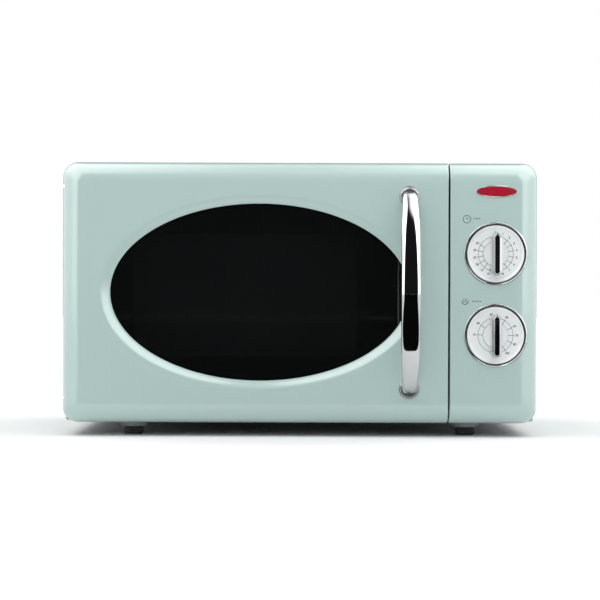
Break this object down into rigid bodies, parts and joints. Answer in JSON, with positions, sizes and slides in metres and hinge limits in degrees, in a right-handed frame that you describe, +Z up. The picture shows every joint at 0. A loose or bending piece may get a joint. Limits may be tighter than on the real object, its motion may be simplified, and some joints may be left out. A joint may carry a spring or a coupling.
{
  "type": "microwave oven",
  "caption": "Countertop microwave oven with a rounded shell, oval window in a side-hinged door, bow handle, rotary timer and power dials, glass turntable and wire rack.",
  "frame": {"origin": "on the table under the middle of the oven's overall box, handle included", "axes": "+X to the right seen from the front, -Y towards the user, +Z up"},
  "size_m": [0.454, 0.383, 0.262],
  "materials": {
    "silver_paint": "silver-green metallic paint on moulded plastic, satin",
    "cabinet_paint": "silver-green powder coat, satin",
    "zinc_sheet": "zinc-coated sheet",
    "oven_paint": "grey oven enamel",
    "chrome": "bright plated",
    "spun_metal": "turned, fine rings",
    "dark_glass": "black tinted, polished",
    "clear_sheet": "clear film",
    "clear_glass": "clear pressed glass",
    "black_rubber": "matt",
    "black_plastic": "moulded",
    "grey_plastic": "moulded",
    "white_plastic": "moulded",
    "copper": "enamelled wire, varnished",
    "steel": "bare",
    "mica": "pressed mica sheet",
    "quartz": "frosted quartz",
    "board_green": "solder resist",
    "badge_red": "domed lacquer"
  },
  "bodies": {
    "cabinet_body": {"control_panel": "silver_paint", "time_dial_plate": "silver_paint", "power_dial_plate": "silver_paint", "outer_cabinet": "cabinet_paint", "hinge_lower": "zinc_sheet", "hinge_upper": "zinc_sheet", "base_plate": "zinc_sheet", "front_frame": "zinc_sheet", "back_panel": "zinc_sheet", "turntable_motor": "zinc_sheet", "waveguide": "zinc_sheet", "fan_shroud": "zinc_sheet", "cavity": "oven_paint", "time_bezel": "chrome", "power_bezel": "chrome", "foot_front_left": "black_rubber", "foot_front_right": "black_rubber", "foot_rear_left": "black_rubber", "foot_rear_right": "black_rubber", "cord_gland": "black_plastic", "lower_switch": "black_plastic", "upper_switch": "black_plastic", "timer": "white_plastic", "power_selector": "white_plastic", "interlock_bracket": "white_plastic", "primary_winding": "copper", "secondary_winding": "copper", "grill_reflector": "steel", "magnetron": "steel", "transformer_core": "steel", "capacitor": "steel", "fan_motor": "steel", "waveguide_cover": "mica", "quartz_tube_front": "quartz", "quartz_tube_rear": "quartz", "lamp": "quartz", "filter_board": "board_green", "badge": "badge_red"},
    "door": {"door_frame": "silver_paint", "door_glass": "dark_glass", "door_plate": "zinc_sheet", "door_inner_sheet": "clear_sheet", "choke_cover": "grey_plastic", "latch_spring": "steel", "handle": "chrome", "handle_ferrule_top": "spun_metal", "handle_ferrule_bottom": "spun_metal"},
    "latch": {"latch_hooks": "black_plastic"},
    "time_dial": {"time_knob": "chrome", "time_shaft": "steel"},
    "power_dial": {"power_knob": "chrome", "power_shaft": "steel"},
    "coupler": {"turntable_coupler": "white_plastic"},
    "ring": {"roller_ring": "white_plastic"},
    "wheel_1": {"roller_1": "white_plastic"},
    "wheel_2": {"roller_2": "white_plastic"},
    "wheel_3": {"roller_3": "white_plastic"},
    "tray": {"turntable_tray": "clear_glass"},
    "rack": {"wire_rack": "chrome"},
    "fan": {"fan_impeller": "black_plastic"}
  },
  "joints": [
    {"name": "door_hinge", "type": "hinge", "parent": "cabinet_body", "child": "door", "pos_m": [-0.218, -0.1345, 0.1375], "axis": [0, 0, -1], "range_deg": [0, 100]},
    {"name": "latch_slide", "type": "slide", "parent": "door", "child": "latch", "axis": [0, 0, 1], "range_m": [0, 0.005], "stiffness_N_per_m": 400, "springref_m": -0.004, "deforming": ["latch_spring"]},
    {"name": "time_knob_turn", "type": "hinge", "parent": "cabinet_body", "child": "time_dial", "pos_m": [0.1864, -0.1535, 0.1751], "axis": [0, 1, 0], "range_deg": [0, 300]},
    {"name": "power_knob_turn", "type": "hinge", "parent": "cabinet_body", "child": "power_dial", "pos_m": [0.1864, -0.1535, 0.0975], "axis": [0, 1, 0], "range_deg": [-90, 150]},
    {"name": "coupler_spin", "type": "hinge", "parent": "cabinet_body", "child": "coupler", "pos_m": [-0.0525, 0.02405, 0.0453], "axis": [0, 0, 1], "continuous": true},
    {"name": "ring_spin", "type": "hinge", "parent": "cabinet_body", "child": "ring", "pos_m": [-0.0525, 0.02405, 0.0453], "axis": [0, 0, 1], "continuous": true},
    {"name": "roller_1_spin", "type": "hinge", "parent": "ring", "child": "wheel_1", "pos_m": [-0.0525, 0.11405, 0.0453], "axis": [0, 1, 0], "continuous": true},
    {"name": "roller_2_spin", "type": "hinge", "parent": "ring", "child": "wheel_2", "pos_m": [-0.13044, -0.02095, 0.0453], "axis": [-0.866, -0.5, 0], "continuous": true},
    {"name": "roller_3_spin", "type": "hinge", "parent": "ring", "child": "wheel_3", "pos_m": [0.02544, -0.02095, 0.0453], "axis": [0.866, -0.5, 0], "continuous": true},
    {"name": "tray_lift", "type": "slide", "parent": "coupler", "child": "tray", "axis": [0, 0, 1], "range_m": [0, 0.03]},
    {"name": "rack_lift", "type": "slide", "parent": "tray", "child": "rack", "axis": [0, 0, 1], "range_m": [0, 0.04]},
    {"name": "fan_spin", "type": "hinge", "parent": "cabinet_body", "child": "fan", "pos_m": [0.164, 0.1555, 0.175], "axis": [0, 1, 0], "continuous": true}
  ],
  "couplings": [
    {"joint": "ring_spin", "follows": "coupler_spin", "ratio": 0.5},
    {"joint": "roller_1_spin", "follows": "coupler_spin", "ratio": -6.4286},
    {"joint": "roller_2_spin", "follows": "coupler_spin", "ratio": -6.4286},
    {"joint": "roller_3_spin", "follows": "coupler_spin", "ratio": -6.4286}
  ]
}
